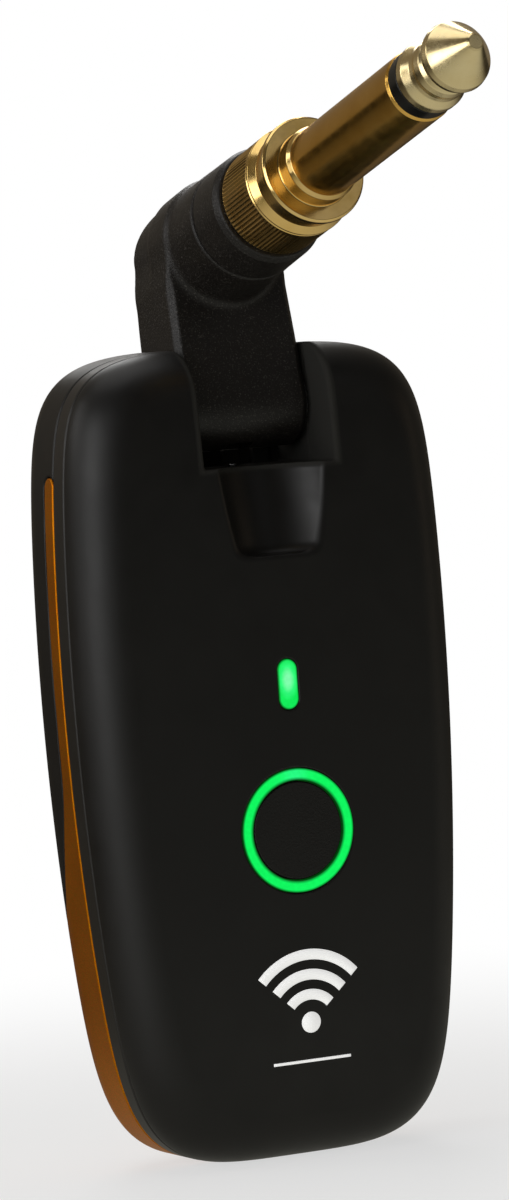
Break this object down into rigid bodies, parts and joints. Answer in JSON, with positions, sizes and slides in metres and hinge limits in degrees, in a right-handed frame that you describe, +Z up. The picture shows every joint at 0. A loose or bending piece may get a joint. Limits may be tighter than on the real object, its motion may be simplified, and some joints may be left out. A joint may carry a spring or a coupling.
{
  "type": "wireless guitar transmitter",
  "caption": "Pocket wireless audio transmitter with a rounded case, lit power button and a quarter-inch plug on a folding arm.",
  "frame": {"origin": "centre of the flat back of the rear cover", "axes": "+Z up the case towards the hinge and plug, -Y out of the front face with the button, +Y out of the flat back, +X to the right when facing the button"},
  "size_m": [0.0374, 0.0578, 0.0988],
  "materials": {
    "front_black": "satin",
    "frame_black": "satin",
    "arm_black": "fine grain",
    "bronze_trim": "satin metallic",
    "green_light": "lit translucent",
    "gold_plate": "polished gold plate",
    "insulator_black": "moulded",
    "bushing_bronze": "sintered",
    "steel": "bright",
    "screw_black": "black oxide",
    "board_green": "solder mask",
    "chip_black": "moulded",
    "ceramic_white": "ceramic",
    "battery_foil": "foil pouch",
    "foam": "foam",
    "wire_red": "insulation",
    "wire_black": "insulation",
    "wire_grey": "insulation"
  },
  "bodies": {
    "case": {"front_cover": "front_black", "mid_frame": "frame_black", "rear_cover": "front_black", "side_trim": "bronze_trim", "status_lens": "green_light", "ring_light_guide": "green_light", "main_circuit_board": "board_green", "rf_shield_can": "steel", "radio_chip": "chip_black", "crystal": "steel", "audio_converter_chip": "chip_black", "charger_chip": "chip_black", "chip_antenna": "ceramic_white", "tact_switch_body": "steel", "status_led": "ceramic_white", "ring_led_1": "ceramic_white", "ring_led_2": "ceramic_white", "ring_led_3": "ceramic_white", "ring_led_4": "ceramic_white", "battery_cell": "battery_foil", "battery_foam_pad": "foam", "battery_connector": "ceramic_white", "battery_lead_red": "wire_red", "battery_lead_black": "wire_black", "usb_socket_shell": "steel", "usb_socket_tongue": "chip_black", "hinge_pin": "steel", "hinge_retaining_clip": "steel", "friction_washer_left": "steel", "friction_washer_right": "steel", "signal_lead_case": "wire_black", "case_screw_1": "screw_black", "case_screw_2": "screw_black", "case_screw_3": "screw_black", "case_screw_4": "screw_black"},
    "plug_arm": {"arm_body": "arm_black", "arm_back_cover": "arm_black", "hinge_bushing_left": "bushing_bronze", "hinge_bushing_right": "bushing_bronze", "barrel_ring": "arm_black", "knurled_collar": "gold_plate", "plug_sleeve": "gold_plate", "tip_insulator": "insulator_black", "plug_tip": "gold_plate", "sleeve_solder_lug": "gold_plate", "tip_solder_lug": "gold_plate", "tip_wire": "wire_grey", "ground_wire": "wire_black"},
    "power_button": {"power_button_cap": "front_black", "tact_switch_plunger": "chip_black"}
  },
  "joints": [
    {"name": "plug_fold", "type": "hinge", "parent": "case", "child": "plug_arm", "pos_m": [0, -0.008, 0.03125], "axis": [1, 0, 0], "range_deg": [-72, 105], "stiffness_Nm_per_rad": 0.03},
    {"name": "power_button_press", "type": "slide", "parent": "case", "child": "power_button", "axis": [0, 1, 0], "range_m": [0, 0.0003], "stiffness_N_per_m": 600}
  ]
}
